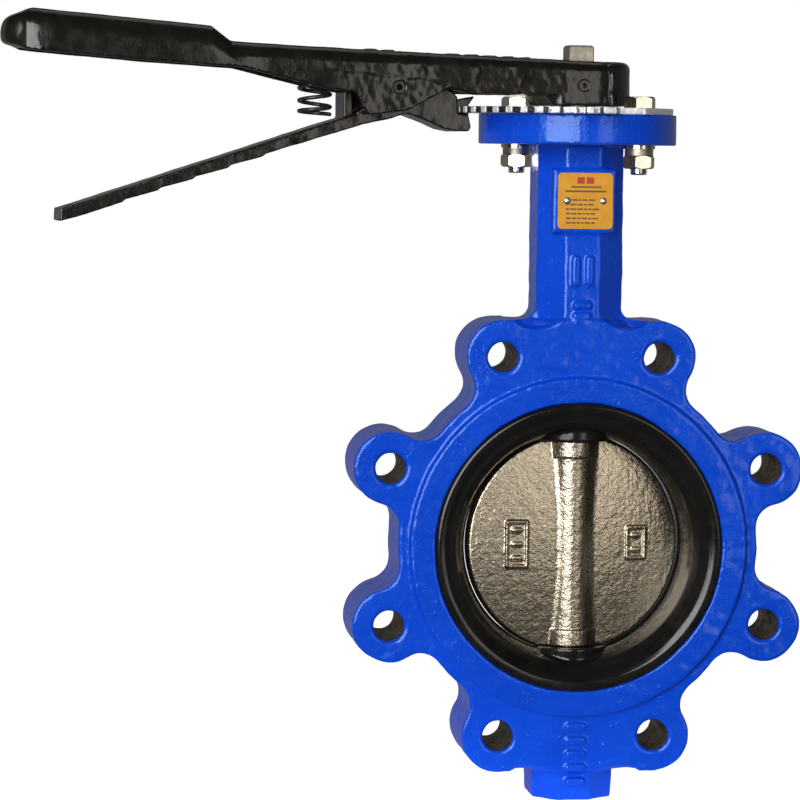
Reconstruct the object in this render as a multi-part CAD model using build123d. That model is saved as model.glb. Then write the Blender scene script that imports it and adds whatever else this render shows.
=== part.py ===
from build123d import *
import os
from math import asin, cos, degrees, radians, sin, sqrt

# Lug-type butterfly valve, 4 inch (DN 100), with a squeeze-lock hand lever. Millimetres.
# Origin: where the stem axis crosses the pipe axis, in the middle of the bore.
# +X to the right, Y along the pipe, +Z up the stem. The lever points towards -X.
# The valve rests one notch open: the disc, the stems and the lever are turned by OPENING.

OPENING = 7.5                # degrees that the disc stands open at rest
NOTCH_STEP = 7.5             # degrees between two notches of the lock plate
FULL_TRAVEL = 90.0           # degrees from shut to fully open

# Body
FACE_HALF = 26.0             # half of the 52 mm face-to-face length
LUG_FACE = 23.0              # the lug plate's faces lie 3 mm below the raised faces
RAISED_R = 78.6              # outer radius of the raised faces
VALLEY_R = 84.0              # body radius between two lugs
BOLT_CIRCLE_R = 95.25        # 4 inch Class 150: eight bolts on 190.5 mm
LUG_R = 17.0
LUG_BLEND = 11.0             # concave blend between a lug and the body
LUG_HOLE_R = 7.0
LUG_HOLE_CHAMFER = 1.2
LUG_ANGLES = [22.5 + 45 * k for k in range(8)]
WEB_TOP = BOLT_CIRCLE_R * cos(radians(22.5)) + LUG_R
NECK_HALF = 20.0             # half width of the octagonal neck and bottom boss
NECK_SIDE = 12.0             # half depth of the neck's side walls
NECK_FACET = 8.0             # half width of the neck's front facet
NECK_DEPTH = 22.0            # half depth of the neck at its front facet
BOSS_BOTTOM = -118.8
TOP_FLANGE_R = 46.0
TOP_FLANGE_Z = (186.0, 200.0)
TOP_BOLT_R = 35.0            # F07 pattern: four holes on 70 mm
TOP_HOLE_R = 4.5
STEM_BORE_R = 11.0
SPIGOT_R = 14.0              # counterbore for the thrust washer
SPIGOT_FLOOR = 195.0
FIT = 0.05                   # radial running clearance
MARK_ROOT = 18.0             # depth from which the raised cast marks grow
MARK_HEIGHT = 1.2
BOSS_BAR_PITCH = 6.4         # five bars down the front of the bottom boss
FOOT_SIDE_R = 6.0            # concave blends between the neck's foot and the lug plate
FOOT_FACET_R = 10.0
FOOT_FACET_Z = 101.0
PAD_FACE = 23.0              # front of the flat pad that carries the label
PAD_HALF = 14.5
LABEL_X, LABEL_Z = 0.4, 160.2
LABEL_SIZE = (25.6, 25.8)
LABEL_THICK = 0.6
RIVET_X = (-8.0, 8.8)
RIVET_R = 1.0
RIVET_SHANK = (-23.6, -20.6)

# Seat, disc and stems
LINER_R = 60.0               # outside of the rubber seat's sleeve
LIP_R = 67.0                 # outside of its face lips
LIP_FLOOR = 22.5             # depth at which the lips start
LIP_PROUD = 26.8             # the lips stand 0.8 mm proud of the raised faces
BORE_R = 51.8                # seat bore at the middle
PAD_R = 17.5                 # flat pads round the stem, against the disc hub's ends
DISC_R = 51.5                # rim of the disc
DISC_FACE_R = 50.3
DISC_HALF = 3.8              # half thickness of the disc plate at its rim
DOME_HEIGHT = 3.2            # the plate swells by this much on each side towards its middle
DOME_R = (DISC_FACE_R**2 + DOME_HEIGHT**2) / (2 * DOME_HEIGHT)
HUB_R = 10.4
HUB_BLEND = 5.0              # concave blends between the hub and the disc plate
COLLAR_R = 11.8
COLLAR_LENGTH = 7.5
HUB_END = 48.0               # flat ends of the disc hub
STEM_R = 7.9
DRIVE_HALF = 5.9             # half width of the square ends of the upper stem
DRIVE_FIT = 0.1              # clearance round the squares
LOWER_SQUARE = (13.0, 34.5)  # the stem's square inside the disc
UPPER_SQUARE = 204.5         # the lever's square runs from here to the top
STEM_TOP = 232.0
RING_GROOVE = (197.4, 198.8)

# Lock plate and its fasteners
PLATE_Z = (200.0, 203.0)
TOOTH_R = 59.0
SLOT_FLOOR_R = 49.5
SLOT_W = 4.2
FASTENER_ANGLES = (135.0, 315.0)
FASTENER_TURNS = (-8.0, 7.5)  # how each tightened nut and head happens to stand
BOLT_R = 4.0                 # M8 without its thread
ACROSS_FLATS = 13.0
BOLT_TIP = 172.4
NUT_Z = (175.2, 181.4)
SPRING_WASHER_Z = (181.4, 184.3)
SPRING_WASHER_R = 6.6
FLAT_WASHER_R = 7.4
WASHER_HOLE_R = 4.3

# Lever, trigger and spring, drawn shut, pointing towards -X
LEVER_HALF = 15.5
WALL = 4.0
HUB_FLAT_HALF = 22.0         # flat sides of the hub, which the round end meets at a crease
HUB_ROUND_R = 24.0
SKIRT_Z = 204.0
SKIRT_R = 26.2               # the hub's skirt passes inside the heads of the flange bolts
ARM_Z = 208.7
HUB_TOP = 224.4
HUB_EDGE_R = 3.5             # rounding round the top of the hub's end
SCREW_X, SCREW_Z = -3.6, 213.0
SCREW_R = 2.4
PIVOT_X, PIVOT_Z = -89.6, 211.0
PIN_R = 2.6
PIN_HOLLOW_R = 1.5
TRIGGER_HALF = 10.0
TONGUE_HALF = 1.7
TAIL_STEPS = 5               # finger steps under the trigger's tail
SPRING_X = -125.5
SPRING_Z = (197.2, 223.0)
SPRING_TURNS = 4.0
SPRING_R = 7.1               # mean radius of the coils
SPRING_WIRE_R = 0.9


def turned(shape):
    """The rotor's parts are drawn with the disc shut, then turned to the rest opening."""
    return Rot(0, 0, OPENING) * shape


def tube(outer, inner, z_low, z_high):
    """A ring about the stem axis."""
    return Pos(0, 0, z_low) * extrude(Circle(outer) - Circle(inner), z_high - z_low)


def rod(radius, z_low, z_high):
    return Pos(0, 0, z_low) * extrude(Circle(radius), z_high - z_low)


def square_rod(half, z_low, z_high):
    return Pos(0, 0, z_low) * extrude(Rectangle(2 * half, 2 * half), z_high - z_low)


def about_pipe(points):
    """Revolve a closed outline of (radius, y) points about the pipe axis."""
    return revolve(make_face(Polyline(*points, close=True)), Axis.Y, 360)


def side_face(points, radii=0):
    """A closed outline of (x, z) points, with a corner radius for each."""
    edge = FilletPolyline(*points, radius=radii, close=True) if radii else Polyline(*points, close=True)
    return Plane.XZ * make_face(edge)


def side_block(points, half, radii=0):
    return extrude(side_face(points, radii), half, both=True)


def cross_rod(x, z, radius, y_low=-30.0, y_high=30.0):
    """A cylinder along Y."""
    return Pos(x, (y_low + y_high) / 2, z) * Rot(90, 0, 0) * Cylinder(radius, y_high - y_low)


def block(x, y, z):
    """A box given by three (low, high) pairs."""
    size = [high - low for low, high in (x, y, z)]
    centre = [(low + high) / 2 for low, high in (x, y, z)]
    return Pos(*centre) * Box(*size)


def around(radius, angle):
    return radius * cos(radians(angle)), radius * sin(radians(angle))


def octagon(scale=1.0):
    """Section of the neck and of the bottom boss, seen from above."""
    quarter = [(NECK_FACET, NECK_DEPTH), (NECK_HALF, NECK_SIDE)]
    right = [(x, -y) for x, y in quarter] + [(x, y) for x, y in reversed(quarter)]
    left = [(-x, y) for x, y in quarter] + [(-x, -y) for x, y in reversed(quarter)]
    return make_face(Polyline(*[(x * scale, y * scale) for x, y in right + left], close=True))


# ---------------------------------------------------------------- body

def lug_outline():
    """Outline of the lug plate, seen along the pipe."""
    outline = Circle(VALLEY_R) + Rectangle(2 * around(BOLT_CIRCLE_R, 67.5)[0], 2 * WEB_TOP)
    for angle in LUG_ANGLES:
        x, z = around(BOLT_CIRCLE_R, angle)
        outline += Pos(x, z) * Circle(LUG_R)
    corners = [v for v in outline.vertices() if abs(v.Y) < WEB_TOP - LUG_R / 2 and abs(v.X) > NECK_HALF]
    return fillet(corners, LUG_BLEND)


def neck_foot():
    """Concave blends that widen the neck's sides and its front and back facets into the lug plate."""
    blends = []
    for x, half, radius, z_low in ((NECK_HALF, NECK_SIDE, FOOT_SIDE_R, WEB_TOP),
                                   (NECK_FACET, NECK_DEPTH, FOOT_FACET_R, FOOT_FACET_Z)):
        filler = block((x - 1, x + radius), (-half, half), (z_low - 2, z_low + radius))
        filler -= cross_rod(x + radius, z_low + radius, radius)
        blends += [filler, mirror(filler, Plane.YZ)]
    return blends


def scoop(side, face, z_centre):
    """A rounded hollow that runs along one sloping facet of the neck or boss."""
    radius = 9.0
    start = Vector(side * NECK_FACET, face * NECK_DEPTH, 0)
    run = Vector(side * NECK_HALF, face * NECK_SIDE, 0) - start
    out = Vector(side * abs(run.Y), face * abs(run.X), 0).normalized()
    low = start + out * radius - run * 0.2 + Vector(0, 0, z_centre)
    high = start + out * radius + run * 0.9 + Vector(0, 0, z_centre)
    path = Line(low, high)
    bar = sweep(Plane(origin=low, z_dir=run) * Circle(radius), path)
    return bar + Pos(*low) * Sphere(radius) + Pos(*high) * Sphere(radius)


def cast_marks():
    """Plain raised bars where a foundry casts its marks."""
    marks = []
    for x, z, wide, high in ((-3.2, 128.0, 3.0, 13.0), (3.2, 128.0, 3.0, 13.0), (0.0, 112.0, 8.0, 2.6),
                             (0.0, 107.0, 8.0, 2.6)):
        bar = extrude(RectangleRounded(wide, high, 1.2), NECK_DEPTH - MARK_ROOT + MARK_HEIGHT)
        marks.append(Pos(x, -MARK_ROOT, z) * Rot(90, 0, 0) * bar)
    for k in range(5):
        bar = extrude(RectangleRounded(9.0, 3.2, 1.5), LUG_FACE - MARK_ROOT + MARK_HEIGHT)
        marks.append(Pos(0, -MARK_ROOT, -84.0 - BOSS_BAR_PITCH * k) * Rot(90, 0, 0) * bar)
    return marks


def make_body():
    plate = extrude(Plane.XZ * lug_outline(), LUG_FACE, both=True)
    body = plate + about_pipe([(LINER_R - 5, -FACE_HALF), (RAISED_R, -FACE_HALF), (RAISED_R, FACE_HALF),
                               (LINER_R - 5, FACE_HALF)])
    body += extrude(Pos(0, 0, 70) * octagon(), TOP_FLANGE_Z[0] - 70)
    body += rod(TOP_FLANGE_R, *TOP_FLANGE_Z)
    body += loft([Pos(0, 0, -80) * octagon(1.04), Pos(0, 0, BOSS_BOTTOM) * octagon(0.92)])
    pad_z = (LABEL_Z - 0.2 - PAD_HALF, LABEL_Z - 0.2 + PAD_HALF)
    body += block((-PAD_HALF, PAD_HALF), (-PAD_FACE, -NECK_SIDE), pad_z)
    for side in (-1, 1):
        for face in (-1, 1):
            body -= scoop(side, face, 110.5)
            body -= scoop(side, face, -111.5)
    for added in neck_foot() + cast_marks():
        body += added
    body -= cross_rod(0, 0, LINER_R)
    for face in (-1, 1):
        near, far = sorted((face * LIP_FLOOR, face * (FACE_HALF + 1)))
        body -= cross_rod(0, 0, LIP_R + 0.2, near, far)
    for x in RIVET_X:
        body -= cross_rod(x, LABEL_Z, RIVET_R, *RIVET_SHANK)
    for angle in LUG_ANGLES:
        x, z = around(BOLT_CIRCLE_R, angle)
        body -= cross_rod(x, z, LUG_HOLE_R)
        for face in (-1, 1):
            mouth = Cone(LUG_HOLE_R, LUG_HOLE_R + LUG_HOLE_CHAMFER, LUG_HOLE_CHAMFER)
            body -= Pos(x, face * (LUG_FACE - LUG_HOLE_CHAMFER / 2), z) * Rot(-90 * face, 0, 0) * mouth
    for k in range(4):
        x, y = around(TOP_BOLT_R, 45 + 90 * k)
        body -= Pos(x, y, 0) * rod(TOP_HOLE_R, TOP_FLANGE_Z[0] - 1, TOP_FLANGE_Z[1] + 1)
    body -= rod(STEM_BORE_R, LINER_R - 8, TOP_FLANGE_Z[1] + 1)
    body -= rod(SPIGOT_R, SPIGOT_FLOOR, TOP_FLANGE_Z[1] + 1)
    body -= rod(STEM_BORE_R, BOSS_BOTTOM + 7, 8 - LINER_R)
    return body


# ---------------------------------------------------------------- seat and sealing

def make_seat():
    """Rubber liner: a sleeve with a funnelled bore and a lip over each raised face."""
    front = [(BORE_R, 0), (BORE_R + 0.3, 8.0), (53.0, 14.0), (54.6, 18.5), (57.5, 22.5), (60.6, 25.2),
             (62.5, LIP_PROUD - 0.3), (63.5, LIP_PROUD), (66.0, LIP_PROUD), (LIP_R, LIP_PROUD - 0.8),
             (LIP_R, LIP_FLOOR), (LINER_R, LIP_FLOOR), (LINER_R, 0)]
    half = about_pipe(front)
    seat = half + mirror(half, Plane.XZ)
    for side in (-1, 1):
        z_low, z_high = sorted((side * (HUB_END + 0.3), side * (LINER_R - 0.6)))
        seat += rod(PAD_R, z_low, z_high) & cross_rod(0, 0, LINER_R - 0.1)
        seat -= rod(STEM_R + FIT, z_low - 3, z_high + 3)
    return seat


def o_ring(z):
    """A stem seal that fills the gap between the stem and its bore."""
    minor = (STEM_BORE_R - STEM_R - FIT) / 2
    return Pos(0, 0, z) * Torus(STEM_R + FIT + minor, minor)


# ---------------------------------------------------------------- disc and stems

def disc_half(r):
    """Half thickness of the domed plate at a radius."""
    return DISC_HALF + DOME_HEIGHT - DOME_R + sqrt(DOME_R**2 - r**2)


def disc_frame(x, wide, high, bars):
    """A raised rectangular frame with plain bars inside, on the disc's front face."""
    outline = RectangleRounded(wide, high, 1.0) - RectangleRounded(wide - 2.4, high - 2.4, 0.6)
    for k in range(bars):
        z = (k - (bars - 1) / 2) * (high - 2.4) / bars
        outline += Pos(0, z) * RectangleRounded(wide - 6.0, 1.8, 0.8)
    tilt = degrees(asin(x / DOME_R))
    return Pos(x, 0.5 - disc_half(x), 0) * Rot(0, 0, tilt) * Rot(90, 0, 0) * extrude(outline, 1.4)


def make_disc():
    rim = [(DISC_FACE_R, DISC_HALF), (DISC_FACE_R + 0.8, 2.4), (DISC_R, 1.0), (DISC_R, 0), (0, 0),
           (0, disc_half(0))]
    middle = DISC_FACE_R / 2
    edge = Polyline(*rim) + ThreePointArc(rim[-1], (middle, disc_half(middle)), rim[0])
    half = revolve(make_face(edge), Axis.Y, 360)
    disc = half + mirror(half, Plane.XZ) + rod(HUB_R, -HUB_END, HUB_END)
    disc = fillet(disc.edges().filter_by(GeomType.BSPLINE), HUB_BLEND)
    for side in (-1, 1):
        z_low, z_high = sorted((side * (HUB_END - COLLAR_LENGTH), side * HUB_END))
        disc += rod(COLLAR_R, z_low, z_high)
        z_low, z_high = sorted((side * HUB_END, side * (DISC_R + 1)))
        disc -= rod(PAD_R + 0.6, z_low, z_high)
    disc += disc_frame(-28.0, 10.8, 22.0, 3)
    disc += disc_frame(30.0, 10.0, 15.6, 2)
    low, high = LOWER_SQUARE
    disc -= rod(STEM_R + DRIVE_FIT, high - 0.5, HUB_END + 1)
    disc -= square_rod(DRIVE_HALF + DRIVE_FIT, low - 1, high + 0.5)
    disc -= rod(STEM_R + DRIVE_FIT, -HUB_END - 1, 1 - low)
    return turned(disc)


def make_upper_stem():
    """Round stem with a square drive at each end and a groove for the retaining ring."""
    stem = rod(STEM_R, LOWER_SQUARE[1], UPPER_SQUARE)
    for z_low, z_high in (LOWER_SQUARE, (UPPER_SQUARE, STEM_TOP)):
        stem += square_rod(DRIVE_HALF, z_low, z_high) & rod(STEM_R, z_low, z_high)
    stem -= tube(STEM_R + 1, STEM_R - 0.9, *RING_GROOVE)
    crown = stem.faces().sort_by(Axis.Z)[-1]
    return turned(chamfer(crown.edges(), 1.0))


def make_retaining_ring():
    z_low, z_high = RING_GROOVE
    ring = tube(STEM_R + 2.6, STEM_R - 0.85, z_low + 0.1, z_high - 0.1)
    return turned(ring - block((STEM_R - 3, STEM_R + 4), (-2.2, 2.2), RING_GROOVE))


# ---------------------------------------------------------------- lock plate and fasteners

def make_notch_plate():
    """Lock plate: a toothed arc for the latch and an ear over each flange bolt."""
    arc = [around(TOOTH_R, angle) for angle in (172.0, 225.0, 278.0)]
    ear = [(12.5, -40.5), (25.0, -40.5), (41.5, -20.0), (41.5, -9.0)]
    other_ear = [(y, x) for x, y in reversed(ear)]
    edge = ThreePointArc(*arc) + Polyline(arc[-1], *ear, *other_ear, arc[0])
    plate = Pos(0, 0, PLATE_Z[0]) * extrude(make_face(edge), PLATE_Z[1] - PLATE_Z[0])
    through = (PLATE_Z[0] - 1, PLATE_Z[1] + 1)
    plate -= rod(12.0, *through)
    for k in range(int(FULL_TRAVEL / NOTCH_STEP) + 1):
        slot = block((-TOOTH_R - 4, -SLOT_FLOOR_R), (-SLOT_W / 2, SLOT_W / 2), through)
        plate -= Rot(0, 0, k * NOTCH_STEP) * slot
    for angle in FASTENER_ANGLES:
        x, y = around(TOP_BOLT_R, angle)
        plate -= Pos(x, y, 0) * rod(TOP_HOLE_R, *through)
    return plate


def at_bolts(shape):
    """The same fastener at both filled holes of the top flange."""
    copies = []
    for angle, turn in zip(FASTENER_ANGLES, FASTENER_TURNS):
        x, y = around(TOP_BOLT_R, angle)
        copies.append(Pos(x, y, 0) * Rot(0, 0, turn) * shape)
    return Compound(children=copies)


def hexagon(z_low, z_high, chamfered):
    """A hexagon bar whose corners are turned down at the chosen ends."""
    corner = ACROSS_FLATS / sqrt(3)
    bar = Pos(0, 0, z_low) * extrude(RegularPolygon(corner, 6), z_high - z_low)
    drop = 1.0
    slim = ACROSS_FLATS / 2 * 0.97
    outline = [(0, z_low), (slim if "low" in chamfered else corner, z_low), (corner, z_low + drop),
               (corner, z_high - drop), (slim if "high" in chamfered else corner, z_high), (0, z_high)]
    return bar & revolve(Plane.XZ * make_face(Polyline(*outline, close=True)), Axis.Z, 360)


def make_plate_bolt():
    """Hexagon bolt; grooves stand for the turns of thread that show below the nut."""
    bolt = hexagon(PLATE_Z[1], PLATE_Z[1] + 5.3, ("high",)) + rod(BOLT_R, BOLT_TIP, PLATE_Z[1])
    bolt = chamfer(bolt.faces().sort_by(Axis.Z)[0].edges(), 0.8)
    for z in (BOLT_TIP + 0.9, BOLT_TIP + 1.9):
        bolt -= tube(BOLT_R + 1, BOLT_R - 0.5, z, z + 0.45)
    return at_bolts(bolt)


def make_spring_washer():
    """A ring cut open at one side."""
    ring = tube(SPRING_WASHER_R, WASHER_HOLE_R, *SPRING_WASHER_Z)
    return at_bolts(ring - Rot(0, 0, 20) * block((3, 8), (-0.5, 0.5), SPRING_WASHER_Z))


# ---------------------------------------------------------------- lever, trigger, spring

def top_bars():
    """Plain raised bars along the top of the arm."""
    bars = []
    for x in (-27.0, -35.0, -43.0, -52.0, -61.0, -92.0, -100.0):
        z = HUB_TOP + 0.4 - 0.0355 * (x + 14)
        bars.append(block((x - 2.6, x + 2.6), (-6, 6), (z - 3, z + 0.7)))
    return bars


def hub_end():
    """Round end of the hub, between its two flat sides."""
    button = rod(HUB_ROUND_R, SKIRT_Z, HUB_TOP)
    button = fillet(button.faces().sort_by(Axis.Z)[-1].edges(), HUB_EDGE_R)
    return button & block((0, 30), (-HUB_FLAT_HALF, HUB_FLAT_HALF), (SKIRT_Z, HUB_TOP))


def make_lever():
    """Inverted channel from the grip to the hub, with deeper cheeks round the pivot."""
    outline = [(1, HUB_TOP), (-14, 224.8), (-76, 227.0), (-136, 229.2), (-166.5, 230.6), (-175.5, 237.4),
               (-222, 241.0), (-258, 243.8), (-268.5, 239.5), (-270, 228.0), (-262, 225.2), (-201, 220.8),
               (-162, 218.8), (-124, 210.0), (-109.5, 208.2), (-104.5, 198.0), (-86, 200.3), (-66.5, 210.8),
               (-57, ARM_Z), (-20.5, ARM_Z), (-17.5, SKIRT_Z), (1, SKIRT_Z)]
    radii = [0, 0, 0, 0, 5, 4, 0, 8, 5, 2, 3, 0, 12, 10, 2, 3, 8, 3, 2, 1, 1, 0]
    shape = side_block(outline, 30, radii)
    plan = [(-270, -12.5), (-262, -15), (-180, -LEVER_HALF), (-150, -14.5), (-104, -LEVER_HALF),
            (-72, -LEVER_HALF - 0.5), (-12, -HUB_FLAT_HALF), (1, -HUB_FLAT_HALF)]
    mirrored = [(x, -y) for x, y in reversed(plan)]
    plan_radii = [6, 0, 0, 20, 0, 20, 12, 0]
    sketch = make_face(FilletPolyline(*plan, *mirrored, radius=plan_radii + plan_radii[::-1], close=True))
    lever = (shape & extrude(Pos(0, 0, 190) * sketch, 70)) + hub_end()
    for bar in top_bars():
        lever += bar
    roof = [(-30, 220.4), (-76, 222.8), (-136, 225.0), (-169, 226.4), (-178, 233.2), (-258, 239.4),
            (-263, 236), (-263, 190), (-30, 190)]
    lever -= side_block(roof, LEVER_HALF - WALL, [3, 0, 0, 4, 4, 4, 4, 0, 0])
    lever -= tube(50, SKIRT_R, SKIRT_Z - 1, ARM_Z)
    lever -= square_rod(DRIVE_HALF + DRIVE_FIT, SKIRT_Z - 1, STEM_TOP)
    lever -= rod(STEM_R + 0.3, SKIRT_Z - 1, UPPER_SQUARE + 1.5)
    lever -= cross_rod(PIVOT_X, PIVOT_Z, PIN_R)
    lever -= cross_rod(SCREW_X, SCREW_Z, SCREW_R, -31, -5)
    return turned(lever)


def make_set_screw():
    """Cup-point screw in the front of the hub, which bears on the stem's square."""
    screw = cross_rod(SCREW_X, SCREW_Z, SCREW_R, 0.4 - HUB_FLAT_HALF, -DRIVE_HALF - 0.1)
    socket = Pos(SCREW_X, -24.0, SCREW_Z) * Rot(-90, 0, 0) * extrude(RegularPolygon(1.4, 6), 5)
    return turned(screw - socket)


def make_pivot_pin():
    """Rolled spring pin, a little longer than the lever is wide."""
    end = LEVER_HALF + 0.6
    return turned(cross_rod(PIVOT_X, PIVOT_Z, PIN_R, -end, end) - cross_rod(PIVOT_X, PIVOT_Z, PIN_HOLLOW_R))


def tail_outline():
    """Side view of the trigger's tail: a straight bar with finger steps below."""
    top_left, top_right = (-243.4, 154.4), (-119.0, 195.4)
    slope = (top_right[1] - top_left[1]) / (top_right[0] - top_left[0])
    thick, step = 5.2, 0.8
    points = [top_left, top_right, (-106.0, 199.0), (-106.0, 193.6)]
    for k in range(TAIL_STEPS):
        x = -150.0 - 16.0 * k
        z = top_left[1] + slope * (x - top_left[0]) - thick
        points += [(x, z), (x - 1.5, z - slope * 1.5 - step)]
    points += [(-236.0, 150.8), (-243.8, 148.8)]
    return points


def make_trigger():
    """Squeeze trigger: tail, post, web, pivot barrel and a nose with a locking tongue."""
    tail = side_block(tail_outline(), TRIGGER_HALF)
    nose = side_block([(-108.0, 199.5), (-108.0, 193.2), (-92.8, 196.6), (-84.4, 199.2), (-73.0, 195.0),
                       (-66.8, 192.4), (-61.0, 191.3), (-55.0, 191.5), (-54.0, 193.5), (-55.4, 199.4),
                       (-60.6, 199.4), (-60.6, 207.0), (-66.0, 212.0), (-80.0, 216.0), (-97.0, 214.0),
                       (-101.0, 204.0)], TRIGGER_HALF, [0, 0, 0, 6, 0, 3, 2, 1, 1, 0.5, 0, 1, 3, 6, 4, 3])
    trigger = tail + nose
    trigger += side_block([(-111, 193.0), (-96, 196.0), (-96, 208.5), (-111, 209.0)], 3.0)
    trigger += block((-113.8, -109.6), (-TRIGGER_HALF + 1, TRIGGER_HALF - 1), (192.5, 209.0))
    tongue = [(-61.0, 198.0), (-53.0, 198.0), (-53.0, 203.6), (-50.2, 207.6), (-61.0, 205.8)]
    trigger += side_block(tongue, TONGUE_HALF)
    trigger -= cross_rod(PIVOT_X, PIVOT_Z, PIN_R + 0.1)
    trigger -= Pos(-239.0, 0, 152.0) * Cylinder(2.0, 20)
    return turned(trigger)


def make_trigger_spring():
    """Open compression coil between the trigger and the roof of the lever."""
    height = SPRING_Z[1] - SPRING_Z[0]
    path = Pos(SPRING_X, 0, SPRING_Z[0]) * Helix(height / SPRING_TURNS, height, SPRING_R)
    coil = sweep(Plane(origin=path @ 0, z_dir=path % 0) * Circle(SPRING_WIRE_R), path, is_frenet=True)
    return turned(coil)


# ---------------------------------------------------------------- label

def make_label():
    sheet = extrude(RectangleRounded(*LABEL_SIZE, 2.0), LABEL_THICK)
    plate = Pos(LABEL_X, -PAD_FACE, LABEL_Z) * Rot(90, 0, 0) * sheet
    for x in RIVET_X:
        plate -= cross_rod(x, LABEL_Z, RIVET_R)
    return plate


def make_rivets():
    """Shanks through the label, with low domed heads on it."""
    rivets = []
    front = -PAD_FACE - LABEL_THICK
    for x in RIVET_X:
        shank = cross_rod(x, LABEL_Z, RIVET_R, *RIVET_SHANK)
        ball = Pos(x, front + 1.7, LABEL_Z) * Sphere(2.36)
        head = ball & block((x - 3, x + 3), (front - 2, front), (LABEL_Z - 3, LABEL_Z + 3))
        rivets.append(shank + head)
    return Compound(children=rivets)


NODES = {
    "body": make_body(),
    "seat": make_seat(),
    "upper_bushing": tube(STEM_BORE_R, STEM_R + FIT, 176.0, 195.0),
    "stem_gasket": o_ring(172.8),
    "middle_bushing": tube(STEM_BORE_R, STEM_R + FIT, 70.0, 86.0),
    "upper_stem_o_ring": o_ring(66.8),
    "lower_bushing": tube(STEM_BORE_R, STEM_R + FIT, -92.0, -70.0),
    "lower_stem_o_ring": o_ring(-66.8),
    "thrust_washer": tube(SPIGOT_R, STEM_R + FIT, SPIGOT_FLOOR, 197.2),
    "stem_retaining_ring": make_retaining_ring(),
    "disc": make_disc(),
    "upper_stem": make_upper_stem(),
    "lower_stem": turned(rod(STEM_R, -110.0, -12.6)),
    "notch_plate": make_notch_plate(),
    "plate_bolts": make_plate_bolt(),
    "flat_washers": at_bolts(tube(FLAT_WASHER_R, WASHER_HOLE_R, SPRING_WASHER_Z[1], TOP_FLANGE_Z[0])),
    "spring_washers": make_spring_washer(),
    "hex_nuts": at_bolts(hexagon(*NUT_Z, ("low", "high")) - rod(BOLT_R, *NUT_Z)),
    "label_plate": make_label(),
    "label_rivets": make_rivets(),
    "lever": make_lever(),
    "lever_set_screw": make_set_screw(),
    "pivot_pin": make_pivot_pin(),
    "trigger": make_trigger(),
    "trigger_spring": make_trigger_spring(),
}

os.makedirs("parts", exist_ok=True)
for name, shape in NODES.items():
    export_step(shape, f"parts/{name}.step")
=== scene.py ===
"""Looks of the lug-type butterfly valve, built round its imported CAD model. Metres, +Z up the stem."""
import math

import bmesh
import bpy
import numpy as np
from mathutils import Matrix, Vector


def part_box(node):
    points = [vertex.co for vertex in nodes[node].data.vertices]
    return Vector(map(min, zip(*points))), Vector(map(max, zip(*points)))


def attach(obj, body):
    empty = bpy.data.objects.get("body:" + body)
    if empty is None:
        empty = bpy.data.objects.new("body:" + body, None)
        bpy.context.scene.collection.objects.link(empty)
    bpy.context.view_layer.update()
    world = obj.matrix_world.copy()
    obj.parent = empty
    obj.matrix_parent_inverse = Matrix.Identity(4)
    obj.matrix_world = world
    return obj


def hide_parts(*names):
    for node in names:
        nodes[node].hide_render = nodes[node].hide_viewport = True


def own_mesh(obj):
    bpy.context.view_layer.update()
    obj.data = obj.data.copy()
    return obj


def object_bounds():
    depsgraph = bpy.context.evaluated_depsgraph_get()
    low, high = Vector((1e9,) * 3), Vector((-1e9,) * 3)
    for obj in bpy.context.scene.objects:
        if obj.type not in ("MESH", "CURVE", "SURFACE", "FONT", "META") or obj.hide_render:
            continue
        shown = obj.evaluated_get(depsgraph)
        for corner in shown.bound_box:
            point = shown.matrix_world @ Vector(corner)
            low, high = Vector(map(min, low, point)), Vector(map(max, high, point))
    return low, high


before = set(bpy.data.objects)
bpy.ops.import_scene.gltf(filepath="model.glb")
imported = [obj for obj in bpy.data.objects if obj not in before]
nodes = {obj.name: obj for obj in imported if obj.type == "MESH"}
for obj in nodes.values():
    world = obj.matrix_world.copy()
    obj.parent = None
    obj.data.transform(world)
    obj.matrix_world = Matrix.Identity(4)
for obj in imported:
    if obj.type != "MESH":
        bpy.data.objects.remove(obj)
cad_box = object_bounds()

MM = 0.001
REST_OPENING = math.radians(7.5)    # the rotor rests this far from shut
LUG_HOLE_R = 7.0 * MM
BOLT_CIRCLE_R = 95.25 * MM
LUG_FACE = 23.0 * MM
ROTOR_TURN = Matrix.Rotation(REST_OPENING, 4, "Z")


# ---------------------------------------------------------------- shader helpers

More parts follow.
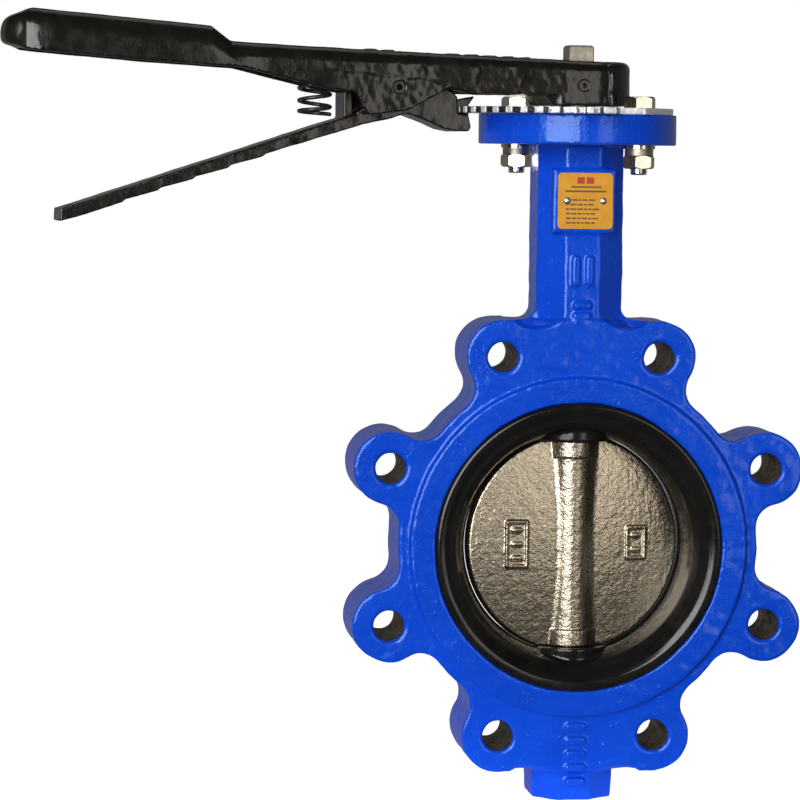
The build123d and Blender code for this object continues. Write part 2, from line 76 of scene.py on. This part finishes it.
class Shader:
    """A material's node tree, with short calls for the nodes used here."""

    def __init__(self, name, **constants):
        self.material = bpy.data.materials.new(name)
        self.material.use_nodes = True
        self.tree = self.material.node_tree
        self.bsdf = self.tree.nodes["Principled BSDF"]
        self.coords = self.tree.nodes.new("ShaderNodeTexCoord").outputs["Object"]
        self.height = None
        for socket, value in constants.items():
            self.bsdf.inputs[socket.replace("_", " ")].default_value = value

    def link(self, source, target):
        self.tree.links.new(source, target)

    def set(self, socket, source):
        self.link(source, self.bsdf.inputs[socket])

    def stretched(self, *scale):
        """Object coordinates, stretched along the axes."""
        node = self.tree.nodes.new("ShaderNodeMapping")
        node.inputs["Scale"].default_value = scale
        self.link(self.coords, node.inputs["Vector"])
        return node.outputs["Vector"]

    def noise(self, size_mm, detail=2.0, roughness=0.5, coords=None):
        node = self.tree.nodes.new("ShaderNodeTexNoise")
        node.inputs["Scale"].default_value = 1000.0 / size_mm
        node.inputs["Detail"].default_value = detail
        node.inputs["Roughness"].default_value = roughness
        self.link(coords or self.coords, node.inputs["Vector"])
        return node.outputs["Fac"]

    def cells(self, size_mm):
        node = self.tree.nodes.new("ShaderNodeTexVoronoi")
        node.inputs["Scale"].default_value = 1000.0 / size_mm
        self.link(self.coords, node.inputs["Vector"])
        return node.outputs["Distance"]

    def ramp(self, source, *stops):
        """A colour ramp of (position, colour) stops."""
        node = self.tree.nodes.new("ShaderNodeValToRGB")
        for element, (place, colour) in zip(node.color_ramp.elements, (stops[0], stops[-1])):
            element.position = place
            element.color = (*colour, 1.0)
        for place, colour in stops[1:-1]:
            node.color_ramp.elements.new(place).color = (*colour, 1.0)
        self.link(source, node.inputs["Fac"])
        return node.outputs["Color"]

    def span(self, source, from_low, from_high, to_low, to_high):
        node = self.tree.nodes.new("ShaderNodeMapRange")
        for socket, value in zip(("From Min", "From Max", "To Min", "To Max"),
                                 (from_low, from_high, to_low, to_high)):
            node.inputs[socket].default_value = value
        self.link(source, node.inputs["Value"])
        return node.outputs["Result"]

    def bump(self, source, depth_mm, strength=1.0):
        """Adds a height map on top of the ones before it."""
        node = self.tree.nodes.new("ShaderNodeBump")
        node.inputs["Distance"].default_value = depth_mm * MM
        node.inputs["Strength"].default_value = strength
        self.link(source, node.inputs["Height"])
        if self.height:
            self.link(self.height, node.inputs["Normal"])
        self.height = node.outputs["Normal"]
        self.set("Normal", self.height)


def blue_paint():
    """Thick glossy enamel over a sand casting."""
    s = Shader("blue_enamel", Specular_IOR_Level=0.5, Specular_Tint=(0.35, 0.72, 1.0, 1.0), Coat_Weight=0.3,
               Coat_Roughness=0.07)
    s.set("Base Color", s.ramp(s.noise(26, 3), (0.3, (0.0030, 0.058, 0.60)), (0.7, (0.0045, 0.071, 0.68))))
    s.set("Roughness", s.span(s.noise(7, 4, 0.6), 0.3, 0.7, 0.14, 0.27))
    s.bump(s.noise(6.5, 2), 0.30, 0.5)
    s.bump(s.noise(2.0, 3, 0.6), 0.35, 0.6)
    s.bump(s.span(s.noise(4.5, 3, 0.6), 0.64, 0.70, 0.0, 1.0), 0.30, 0.8)
    return s.material


def bare_iron():
    """Machined wall of a lug hole, oiled and slightly rusted."""
    s = Shader("bare_iron", Metallic=0.8)
    s.set("Base Color", s.ramp(s.noise(2.4, 4, 0.6), (0.32, (0.055, 0.040, 0.028)),
                               (0.5, (0.16, 0.12, 0.085)), (0.72, (0.34, 0.28, 0.21))))
    s.set("Roughness", s.span(s.noise(3, 3), 0.3, 0.7, 0.32, 0.6))
    s.bump(s.noise(1.5, 3, coords=s.stretched(1, 6, 1)), 0.2, 0.5)
    return s.material


def rubber():
    s = Shader("seat_rubber", Specular_IOR_Level=0.5)
    s.set("Base Color", s.ramp(s.noise(14, 3), (0.3, (0.006, 0.006, 0.006)), (0.7, (0.011, 0.010, 0.009))))
    s.set("Roughness", s.span(s.noise(7, 4), 0.3, 0.7, 0.12, 0.22))
    s.bump(s.noise(0.7, 2), 0.05, 0.25)
    return s.material


def nickel():
    """Nickel plating over a fine sand-cast skin."""
    s = Shader("nickel_plate", Metallic=1.0)
    s.set("Base Color", s.ramp(s.noise(1.0, 4, 0.65), (0.3, (0.48, 0.41, 0.31)), (0.7, (0.66, 0.58, 0.45))))
    s.set("Roughness", s.span(s.noise(0.8, 3, 0.6), 0.3, 0.7, 0.22, 0.36))
    s.bump(s.noise(0.85, 1, 0.5), 0.21, 0.75)
    return s.material


def black_paint():
    """Glossy black enamel that runs over a rough casting."""
    s = Shader("black_enamel", Specular_IOR_Level=0.45, Coat_Weight=0.2, Coat_Roughness=0.05)
    s.set("Base Color", s.ramp(s.noise(12, 4), (0.3, (0.006, 0.0055, 0.0045)), (0.7, (0.013, 0.011, 0.008))))
    s.set("Roughness", s.span(s.noise(6, 4), 0.3, 0.7, 0.14, 0.26))
    s.bump(s.noise(7, 3, 0.6, s.stretched(1.8, 1, 0.7)), 0.3, 0.5)
    s.bump(s.noise(3.0, 2, 0.5), 0.15, 0.4)
    return s.material


def stem_steel():
    s = Shader("stem_steel", Metallic=1.0)
    s.set("Base Color", s.ramp(s.noise(3, 4, 0.6), (0.3, (0.38, 0.34, 0.27)), (0.7, (0.62, 0.57, 0.48))))
    s.set("Roughness", s.span(s.noise(2, 3), 0.3, 0.7, 0.34, 0.52))
    s.bump(s.noise(1.0, 3, coords=s.stretched(1, 1, 12)), 0.06, 0.5)
    return s.material


def zinc():
    """Bright zinc on the sheared lock plate."""
    s = Shader("bright_zinc", Metallic=0.5)
    s.set("Base Color", s.ramp(s.cells(2.2), (0.1, (0.70, 0.71, 0.73)), (0.8, (0.90, 0.90, 0.90))))
    s.set("Roughness", s.span(s.noise(1.2, 3), 0.3, 0.7, 0.26, 0.55))
    s.bump(s.noise(1.8, 3), 0.35, 0.8)
    return s.material


def notch_painted_shade():
    """Dark steel on the walls of the lock plate's notches: painted shade, where the notches lie in shadow.
    """
    s = Shader("notch_painted_shade", Metallic=0.7)
    s.set("Base Color", s.ramp(s.noise(1.5, 3), (0.3, (0.030, 0.027, 0.024)), (0.7, (0.13, 0.12, 0.11))))
    s.set("Roughness", s.span(s.noise(1.0, 3), 0.3, 0.7, 0.4, 0.65))
    return s.material


def fastener_steel():
    s = Shader("fastener_steel", Metallic=1.0)
    s.set("Base Color", s.ramp(s.noise(2.5, 4, 0.6), (0.3, (0.52, 0.45, 0.35)), (0.7, (0.78, 0.71, 0.58))))
    s.set("Roughness", s.span(s.noise(1.6, 3), 0.3, 0.7, 0.12, 0.24))
    s.bump(s.noise(2.0, 2), 0.05, 0.4)
    return s.material


def label_yellow():
    s = Shader("label_yellow", Specular_IOR_Level=0.5)
    s.set("Base Color", s.ramp(s.noise(5, 3), (0.3, (0.66, 0.29, 0.010)), (0.7, (0.74, 0.35, 0.018))))
    s.set("Roughness", s.span(s.noise(3, 3), 0.3, 0.7, 0.30, 0.44))
    s.bump(s.noise(4, 2), 0.06, 0.4)
    return s.material


def label_ink(name, colour):
    s = Shader(name, Roughness=0.5)
    darker = tuple(c * 0.7 for c in colour)
    s.set("Base Color", s.ramp(s.noise(0.6, 3), (0.3, darker), (0.7, colour)))
    return s.material


def aluminium():
    s = Shader("rivet_aluminium", Metallic=1.0)
    s.set("Base Color", s.ramp(s.noise(1.0, 3), (0.3, (0.62, 0.61, 0.58)), (0.7, (0.86, 0.85, 0.82))))
    s.set("Roughness", s.span(s.noise(0.8, 3), 0.3, 0.7, 0.2, 0.4))
    return s.material


def black_steel():
    s = Shader("black_steel", Metallic=0.9)
    s.set("Base Color", s.ramp(s.noise(1.2, 4), (0.3, (0.030, 0.027, 0.024)), (0.7, (0.11, 0.10, 0.09))))
    s.set("Roughness", s.span(s.noise(0.9, 3), 0.3, 0.7, 0.22, 0.42))
    s.bump(s.noise(0.7, 3), 0.05, 0.5)
    return s.material


def spring_coating():
    s = Shader("spring_coating", Specular_IOR_Level=0.5)
    s.set("Base Color", s.ramp(s.noise(2, 3), (0.3, (0.012, 0.012, 0.012)), (0.7, (0.035, 0.034, 0.033))))
    s.set("Roughness", s.span(s.noise(1.2, 3), 0.3, 0.7, 0.2, 0.38))
    return s.material


def bushing_plastic():
    s = Shader("bushing_plastic", Roughness=0.45)
    s.set("Base Color", s.ramp(s.noise(4, 3), (0.3, (0.70, 0.68, 0.62)), (0.7, (0.80, 0.78, 0.73))))
    return s.material


MATERIALS = {
    "blue": blue_paint(), "iron": bare_iron(), "rubber": rubber(), "nickel": nickel(),
    # slot: dark steel that paints the shade inside the lock plate's notches
    "black": black_paint(), "stem": stem_steel(), "zinc": zinc(), "slot": notch_painted_shade(),
    "fastener": fastener_steel(), "label": label_yellow(),
    "ink": label_ink("label_ink", (0.16, 0.085, 0.03)), "red": label_ink("label_red", (0.55, 0.05, 0.02)),
    "aluminium": aluminium(), "black_steel": black_steel(), "spring": spring_coating(),
    "plastic": bushing_plastic(),
}


# ---------------------------------------------------------------- mesh helpers

def points_of(mesh):
    co = np.zeros(len(mesh.vertices) * 3, np.float32)
    mesh.vertices.foreach_get("co", co)
    return co.reshape(-1, 3).astype(float)


def normals_of(mesh):
    out = np.zeros(len(mesh.vertices) * 3, np.float32)
    mesh.vertices.foreach_get("normal", out)
    return out.reshape(-1, 3).astype(float)


def put_points(mesh, co):
    mesh.vertices.foreach_set("co", co.astype(np.float32).ravel())
    mesh.update()


def smoothed(mesh, co, passes):
    """Points after passes of Laplacian smoothing, each followed by a counter step that keeps the volume."""
    ends = np.zeros(len(mesh.edges) * 2, np.int32)
    mesh.edges.foreach_get("vertices", ends)
    a, b = ends[0::2], ends[1::2]
    count = np.bincount(ends, minlength=len(co)).astype(float)[:, None]
    for step in [0.55, -0.57] * passes:
        total = np.stack([np.bincount(a, co[b, k], len(co)) + np.bincount(b, co[a, k], len(co))
                          for k in range(3)], axis=1)
        co = co + step * (total / count - co)
    return co


def ripple(co, size_mm, seed, waves=28):
    """Smooth noise of about that feature size, from -1 to 1 mostly: a sum of waves in random directions."""
    rng = np.random.default_rng(seed)
    direction = rng.normal(size=(waves, 3))
    direction /= np.linalg.norm(direction, axis=1)[:, None]
    number = 2 * math.pi / (size_mm * MM) * rng.uniform(0.6, 1.5, waves)
    phase = rng.uniform(0, 2 * math.pi, waves)
    total = np.zeros(len(co))
    for k in range(waves):
        total += np.cos(co @ (direction[k] * number[k]) + phase[k])
    return total / math.sqrt(waves)


def step_up(value, low, high):
    t = np.clip((value - low) / (high - low), 0, 1)
    return t * t * (3 - 2 * t)


def cast_copy(node, name, voxel_mm, passes):
    """A copy of a CAD node whose edges are rounded as a casting's are: remeshed, then smoothed."""
    source = bpy.data.objects.new(name + "_source", nodes[node].data.copy())
    bpy.context.scene.collection.objects.link(source)
    remesh = source.modifiers.new("remesh", "REMESH")
    remesh.mode = "VOXEL"
    remesh.voxel_size = voxel_mm * MM
    graph = bpy.context.evaluated_depsgraph_get()
    mesh = bpy.data.meshes.new_from_object(source.evaluated_get(graph))
    bpy.data.objects.remove(source)
    mesh.materials.clear()
    mesh.name = name
    put_points(mesh, smoothed(mesh, points_of(mesh), passes))
    mesh.shade_smooth()
    piece = bpy.data.objects.new(name, mesh)
    bpy.context.scene.collection.objects.link(piece)
    return piece


def push(piece, height):
    """Moves each point along its normal, by metres."""
    mesh = piece.data
    put_points(mesh, points_of(mesh) + normals_of(mesh) * height[:, None])


def keep_in_box(piece, node):
    """Holds a piece inside the box of the CAD node it stands for."""
    low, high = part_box(node)
    put_points(piece.data, np.clip(points_of(piece.data), np.array(low), np.array(high)))


def stand_for(piece, node, body, slot, *materials):
    for name in materials:
        piece.data.materials.append(MATERIALS[name])
    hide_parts(node)
    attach(piece, body)


def in_rotor(co):
    """Points in the rotor's own axes, as if the valve were shut."""
    turn = np.array(ROTOR_TURN.inverted().to_3x3())
    return co @ turn.T


def face_centres(mesh):
    out = np.zeros(len(mesh.polygons) * 3, np.float32)
    mesh.polygons.foreach_get("center", out)
    return out.reshape(-1, 3).astype(float)


# ---------------------------------------------------------------- castings

def make_body():
    piece = cast_copy("body", "body_casting", 0.8, 2)
    mesh = piece.data
    co = points_of(mesh)
    machined = step_up(co[:, 2], 184.5 * MM, 185.8 * MM)
    lumps = 0.18 * ripple(co, 24, 1) + 0.08 * ripple(co, 7, 2)
    push(piece, lumps * MM * (1 - 0.8 * machined))
    keep_in_box(piece, "body")
    centres = face_centres(mesh)
    slots = np.zeros(len(centres), np.int32)
    for k in range(8):
        angle = math.radians(22.5 + 45 * k)
        away = np.hypot(centres[:, 0] - BOLT_CIRCLE_R * math.cos(angle),
                        centres[:, 2] - BOLT_CIRCLE_R * math.sin(angle))
        slots[(away < LUG_HOLE_R + 0.35 * MM) & (abs(centres[:, 1]) < LUG_FACE - 1.3 * MM)] = 1
    mesh.polygons.foreach_set("material_index", slots)
    stand_for(piece, "body", "valve_body", "blue_paint", "blue", "iron")


SEAT_BORE_R = 51.62 * MM            # the rubber closes on the disc's rim, which is 51.5 mm
SEAT_LIP_R = 65.2 * MM              # a fine ridge runs round the lip here


def make_seat():
    piece = cast_copy("seat", "seat_liner", 0.6, 6)
    co = points_of(piece.data)
    radius = np.hypot(co[:, 0], co[:, 2])
    on_lip = step_up(abs(co[:, 1]), 25.5 * MM, 26.3 * MM)
    ridge = np.exp(-((radius - SEAT_LIP_R) / (0.6 * MM)) ** 2)
    in_bore = 1 - step_up(abs(co[:, 1]), 6 * MM, 14 * MM)
    push(piece, (0.25 * ridge * on_lip - 0.1 * on_lip) * MM + 0.03 * MM * ripple(co, 30, 5) * (1 - in_bore))
    co = points_of(piece.data)
    radius = np.hypot(co[:, 0], co[:, 2])
    wall = in_bore * (radius > 51.0 * MM) * (radius < 53.0 * MM)
    snug = 1 + wall * (SEAT_BORE_R / np.maximum(radius, SEAT_BORE_R) - 1)
    put_points(piece.data, co * np.stack([snug, np.ones(len(co)), snug], axis=1))
    keep_in_box(piece, "seat")
    stand_for(piece, "seat", "valve_body", "seat_rubber", "rubber")


def make_disc():
    piece = cast_copy("disc", "disc_casting", 0.45, 2)
    co = points_of(piece.data)
    local = in_rotor(co)
    radius = np.hypot(local[:, 0], local[:, 2])
    inside = 1 - step_up(radius, 49.0 * MM, 50.0 * MM)
    grain = 0.035 * ripple(co, 5, 7) + 0.028 * ripple(co, 1.9, 8)
    push(piece, grain * MM * inside)
    stand_for(piece, "disc", "rotor", "nickel_plated_iron", "nickel")


LEVER_TOP = [(-270, 240), (-266, 242.6), (-258, 243.8), (-222, 241.0), (-175.5, 237.4), (-166.5, 230.6),
             (-136, 229.2), (-76, 227.0), (-14, 224.8), (1, 224.4), (24, 224.4)]
LEVER_SIDE = [(-270, 13), (-262, 15), (-180, 15.5), (-150, 14.5), (-104, 15.5), (-72, 16),
              (-12, 22), (24, 22)]
SHOULDER_X = (-175, -160, -20)      # the arch of the lever's section is given at these places
SHOULDER_HIGH = (13, 9, 6)
SHOULDER_WIDE = (7, 6, 5.1)
TIP_X = -246                        # the grip rounds in from here, by up to TIP_WIDE
TIP_LONG, TIP_WIDE = 24.5, 6.0
TIP_DOME = 3.5                      # how far the edge of the grip's end stands back from its middle
TIP_HALF, TIP_Z, TIP_HIGH = 12, 234, 10
FLARE_X, FLARE_LONG = 2.5, 7.1      # the hub's flat side curves in from here to the crease
FLARE_BEND = 0.028
FLAT_END_X = 9.8
CREASE_X = 9.6 * MM                 # where the hub's flat side meets its round end


def round_shoulders(local):
    """Draws the upper edges and the tip of the lever in, so that its section is an arch."""
    x, z = local[:, 0] / MM, local[:, 2] / MM
    top = np.interp(x, *zip(*LEVER_TOP))
    half = np.interp(x, *zip(*LEVER_SIDE))
    depth = np.clip(1 - (top - z) / np.interp(x, SHOULDER_X, SHOULDER_HIGH), 0, 1)
    inset = np.interp(x, SHOULDER_X, SHOULDER_WIDE) * (1 - np.sqrt(1 - depth**2))
    tip = np.clip((TIP_X - x) / TIP_LONG, 0, 0.96)
    inset += TIP_WIDE * (1 - np.sqrt(1 - tip**2))
    inset += FLARE_BEND * np.clip(x - FLARE_X, 0, FLARE_LONG) ** 2 * (x < FLAT_END_X)
    local[:, 1] *= (half - inset) / half
    off_centre = np.clip((local[:, 1] / (TIP_HALF * MM)) ** 2 + ((z - TIP_Z) / TIP_HIGH) ** 2, 0, 1)
    local[:, 0] += TIP_DOME * MM * step_up(-x, 250, 268) * off_centre


def cheek_step(local):
    """How far the pivot cheeks stand out below the arm, which is brought level by the hub."""
    x, z = local[:, 0] / MM, local[:, 2] / MM
    line = np.interp(x, (-124, -69), (218.5, 213.5))
    along = step_up(x, -132, -118) * (1 - step_up(x, -72, -60))
    return 0.55 * MM * along * (1 - step_up(z, line - 2.2, line + 2.2))


def make_lever():
    piece = cast_copy("lever", "lever_casting", 0.6, 3)
    mesh = piece.data
    local = in_rotor(points_of(mesh))
    round_shoulders(local)
    local[:, 1] += np.sign(local[:, 1]) * cheek_step(local) * (abs(local[:, 1]) > 13 * MM)
    put_points(mesh, local @ np.array(ROTOR_TURN.to_3x3()).T)
    rough = step_up(local[:, 0], -150 * MM, -60 * MM) * (1 - 0.7 * step_up(local[:, 0], -10 * MM, 0))
    wander = 0.35 * MM * ripple(local * (0, 0, 1), 7, 13)
    seam = np.exp(-((local[:, 0] - CREASE_X - wander) / (0.7 * MM)) ** 2) * (abs(local[:, 1]) > 17 * MM)
    lumps = (0.05 + 0.04 * rough) * ripple(local, 16, 11) + (0.01 + 0.05 * rough) * ripple(local, 4.5, 12)
    push(piece, (lumps + 0.8 * seam) * MM)
    keep_in_box(piece, "lever")
    stand_for(piece, "lever", "rotor", "black_paint", "black")


def make_trigger():
    piece = cast_copy("trigger", "trigger_casting", 0.5, 3)
    co = points_of(piece.data)
    push(piece, (0.07 * ripple(co, 14, 15) + 0.02 * ripple(co, 5, 16)) * MM)
    keep_in_box(piece, "trigger")
    stand_for(piece, "trigger", "trigger", "black_paint", "black")


TOOTH_R = 59.0 * MM
NOTCH_FLOOR_R = 50.0 * MM


def make_notch_plate():
    """The sheared plate has soft edges, uneven tooth faces, and notches whose walls carry painted shade."""
    piece = cast_copy("notch_plate", "notch_plate_sheared", 0.4, 2)
    mesh = piece.data
    co = points_of(mesh)
    push(piece, (0.06 * ripple(co, 5, 31) + 0.05 * ripple(co, 2.2, 32)) * MM)
    keep_in_box(piece, "notch_plate")
    centres = face_centres(mesh)
    radius = np.hypot(centres[:, 0], centres[:, 1])
    normals = np.zeros(len(centres) * 3, np.float32)
    mesh.polygons.foreach_get("normal", normals)
    upright = abs(normals.reshape(-1, 3)[:, 2]) < 0.75
    toothed = (centres[:, 0] < 10 * MM) & (centres[:, 1] < 10 * MM)
    # The notch walls get the second material, a dark steel that paints their shade.
    notch = toothed & upright & (radius > NOTCH_FLOOR_R) & (radius < TOOTH_R - 0.7 * MM)
    mesh.polygons.foreach_set("material_index", notch.astype(np.int32))
    stand_for(piece, "notch_plate", "valve_body", "zinc_plate", "zinc", "slot")


# ---------------------------------------------------------------- spring

SPRING_X = -125.5 * MM
SPRING_R = 7.1 * MM
SPRING_WIRE_R = 0.95 * MM
SPRING_LOW, SPRING_HIGH = 197.4 * MM, 223.4 * MM
SPRING_TURNS = 5.0


def tube_along(name, path, radius, sides=12):
    """A round wire along a list of points, with closed domed ends."""
    path = np.array(path)
    tangent = np.gradient(path, axis=0)
    tangent /= np.linalg.norm(tangent, axis=1)[:, None]
    rows = []
    up = np.array((0.0, 0.0, 1.0))
    for centre, along in zip(path, tangent):
        side = np.cross(along, up)
        side /= np.linalg.norm(side)
        over = np.cross(side, along)
        turn = np.linspace(0, 2 * math.pi, sides, endpoint=False)[:, None]
        rows.append(centre + radius * (np.cos(turn) * side + np.sin(turn) * over))
    mesh = bpy.data.meshes.new(name)
    count = len(rows)
    faces = []
    for k in range(count - 1):
        near, far = k * sides, (k + 1) * sides
        for j in range(sides):
            after = (j + 1) % sides
            faces.append([near + j, near + after, far + after, far + j])
    faces += [list(range(sides))[::-1], [(count - 1) * sides + j for j in range(sides)]]
    mesh.from_pydata(np.concatenate(rows).tolist(), [], faces)
    mesh.shade_smooth()
    piece = bpy.data.objects.new(name, mesh)
    bpy.context.scene.collection.objects.link(piece)
    return piece


def make_spring():
    """Compression coil: one flat turn at each end and open turns between."""
    turn = np.linspace(0, SPRING_TURNS, int(SPRING_TURNS * 36) + 1)
    rise = np.interp(turn, (0, 0.8, SPRING_TURNS - 0.8, SPRING_TURNS), (0.0, 0.10, 0.90, 1.0))
    height = SPRING_LOW + SPRING_WIRE_R + rise * (SPRING_HIGH - SPRING_LOW - 2 * SPRING_WIRE_R)
    angle = 2 * math.pi * turn
    path = np.stack([SPRING_X + SPRING_R * np.cos(angle), SPRING_R * np.sin(angle), height], axis=1)
    path = path @ np.array(ROTOR_TURN.to_3x3()).T
    piece = tube_along("trigger_spring_coil", path, SPRING_WIRE_R)
    stand_for(piece, "trigger_spring", "rotor", "spring_steel", "spring")
    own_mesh(piece)


# ---------------------------------------------------------------- label print

LABEL_FRONT = -23.6 * MM
LABEL_X, LABEL_Z = 0.4 * MM, 160.2 * MM
PRINT_THICK = 0.08 * MM


def print_bars(name, bars, material):
    """Thin plain bars on the label. Each is (x, z, width, height) in millimetres from the label's centre."""
    bm = bmesh.new()
    for x, z, wide, high in bars:
        place = Matrix.Translation((LABEL_X + x * MM, LABEL_FRONT - PRINT_THICK / 2, LABEL_Z + z * MM))
        size = Matrix.Diagonal((wide * MM, PRINT_THICK, high * MM, 1.0))
        bmesh.ops.create_cube(bm, size=1.0, matrix=place @ size)
    mesh = bpy.data.meshes.new(name)
    bm.to_mesh(mesh)
    bm.free()
    mesh.materials.append(MATERIALS[material])
    piece = bpy.data.objects.new(name, mesh)
    bpy.context.scene.collection.objects.link(piece)
    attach(piece, "valve_body")


def make_label_print():
    rng = np.random.default_rng(21)
    words = []
    for row in range(6):
        x = -9.0
        z = 0.4 - 2.1 * row
        end = rng.uniform(1.0, 5.5)
        while x < end:
            wide = rng.uniform(1.0, 3.2)
            words.append((x + wide / 2, z, wide, 0.75))
            x += wide + 0.5
    words += [(0.4, 6.4, 14.0, 0.7), (0.2, 4.4, 19.0, 0.8)]
    print_bars("label_print", words, "ink")
    print_bars("label_emblem", [(-2.2, 9.4, 3.4, 3.0), (2.2, 9.4, 3.4, 3.0)], "red")


# ---------------------------------------------------------------- CAD nodes that stay

def dress(node, material, bevel_mm=0.0):
    """Gives a CAD node its material, and rounds its sharp edges a little."""
    piece = nodes[node]
    piece.data.materials.clear()
    piece.data.materials.append(MATERIALS[material])
    if bevel_mm:
        bevel = piece.modifiers.new("edges", "BEVEL")
        bevel.width = bevel_mm * MM
        bevel.segments = 2
        bevel.limit_method = "ANGLE"
        bevel.angle_limit = math.radians(35)
        bevel.harden_normals = False


def dress_cad_nodes():
    for node in ("plate_bolts", "hex_nuts"):
        dress(node, "fastener", 0.15)
    dress("flat_washers", "fastener", 0.3)
    dress("spring_washers", "stem", 0.6)
    for node in ("thrust_washer", "stem_retaining_ring"):
        dress(node, "fastener", 0.12)
    for node in ("upper_stem", "lower_stem"):
        dress(node, "stem", 0.2)
    for node in ("upper_bushing", "middle_bushing", "lower_bushing"):
        dress(node, "plastic")
    for node in ("stem_gasket", "upper_stem_o_ring", "lower_stem_o_ring"):
        dress(node, "rubber")
    dress("label_plate", "label", 0.1)
    dress("label_rivets", "aluminium")
    dress("lever_set_screw", "black", 0.1)
    dress("pivot_pin", "black_steel", 0.1)


# ---------------------------------------------------------------- stage, lights, camera

def make_floor():
    """A pale round floor whose edge melts into the white surroundings."""
    bm = bmesh.new()
    bmesh.ops.create_circle(bm, cap_ends=True, segments=96, radius=0.75)
    mesh = bpy.data.meshes.new("floor")
    bm.to_mesh(mesh)
    bm.free()
    floor = bpy.data.objects.new("floor", mesh)
    floor.location = (-0.08, 0.69, cad_box[0].z - 0.0003)
    floor.visible_glossy = False
    bpy.context.scene.collection.objects.link(floor)
    s = Shader("pale_floor", Roughness=0.7, Specular_IOR_Level=0.1, Emission_Strength=0.93)
    s.set("Base Color", s.ramp(s.noise(120, 2), (0.3, (0.93, 0.93, 0.93)), (0.7, (0.95, 0.95, 0.95))))
    s.bsdf.inputs["Emission Color"].default_value = (1.0, 1.0, 1.0, 1.0)
    mesh.materials.append(s.material)


def area_light(name, place, aim, size, power, colour=(1.0, 1.0, 1.0)):
    data = bpy.data.lights.new(name, "AREA")
    data.color = colour
    data.shape = "RECTANGLE"
    data.size, data.size_y = size
    data.energy = power
    light = bpy.data.objects.new(name, data)
    light.location = place
    light.rotation_euler = (Vector(aim) - Vector(place)).to_track_quat("-Z", "Y").to_euler()
    bpy.context.scene.collection.objects.link(light)


def make_world():
    """White surroundings: bright behind the object, dim overhead and on the viewer's side."""
    world = bpy.data.worlds.new("studio")
    bpy.context.scene.world = world
    world.use_nodes = True
    tree = world.node_tree
    tree.nodes.clear()
    coords = tree.nodes.new("ShaderNodeTexCoord")
    split = tree.nodes.new("ShaderNodeSeparateXYZ")
    tree.links.new(coords.outputs["Generated"], split.inputs["Vector"])
    fades = []
    for axis, spread in (("Y", (-0.6, 0.5, 0.03, 0.17)), ("Z", (0.2, 0.6, 1.0, 0.15))):
        ramp = tree.nodes.new("ShaderNodeMapRange")
        ramp.interpolation_type = "SMOOTHSTEP"
        for socket, value in zip(("From Min", "From Max", "To Min", "To Max"), spread):
            ramp.inputs[socket].default_value = value
        tree.links.new(split.outputs[axis], ramp.inputs["Value"])
        fades.append(ramp.outputs["Result"])
    product = tree.nodes.new("ShaderNodeMath")
    product.operation = "MULTIPLY"
    tree.links.new(fades[0], product.inputs[0])
    tree.links.new(fades[1], product.inputs[1])
    room = tree.nodes.new("ShaderNodeBackground")
    tree.links.new(product.outputs["Value"], room.inputs["Strength"])
    seen = tree.nodes.new("ShaderNodeBackground")
    seen.inputs["Strength"].default_value = 1.0
    path = tree.nodes.new("ShaderNodeLightPath")
    mix = tree.nodes.new("ShaderNodeMixShader")
    out = tree.nodes.new("ShaderNodeOutputWorld")
    tree.links.new(path.outputs["Is Camera Ray"], mix.inputs["Fac"])
    tree.links.new(room.outputs["Background"], mix.inputs[1])
    tree.links.new(seen.outputs["Background"], mix.inputs[2])
    tree.links.new(mix.outputs["Shader"], out.inputs["Surface"])
    for node in (room, seen):
        node.inputs["Color"].default_value = (1.0, 1.0, 1.0, 1.0)


def make_studio():
    make_world()
    make_floor()
    aim = (-0.02, 0.0, 0.08)
    area_light("key", (-0.80, -1.57, 0.52), aim, (1.3, 1.3), 35)
    area_light("window", (0.70, -1.53, 0.30), aim, (0.48, 1.0), 3.0, (1.0, 0.94, 0.85))
    area_light("fill", (1.25, -1.20, 0.30), aim, (0.7, 1.0), 0.15)
    area_light("top", (0.0, 0.4, 1.7), aim, (1.4, 1.0), 3)
    bpy.context.scene.view_settings.view_transform = "Standard"


def make_camera():
    data = bpy.data.cameras.new("camera")
    data.sensor_width = 36.0
    data.lens = 156.77
    camera = bpy.data.objects.new("camera", data)
    camera.location = (-0.26749, -1.60732, 0.18245)
    camera.rotation_euler = [math.radians(a) for a in (85.897, -0.726, -6.548)]
    bpy.context.scene.collection.objects.link(camera)
    bpy.context.scene.camera = camera


make_camera()
make_studio()
make_body()
make_seat()
make_disc()
make_lever()
make_trigger()
make_notch_plate()
make_spring()
make_label_print()
dress_cad_nodes()
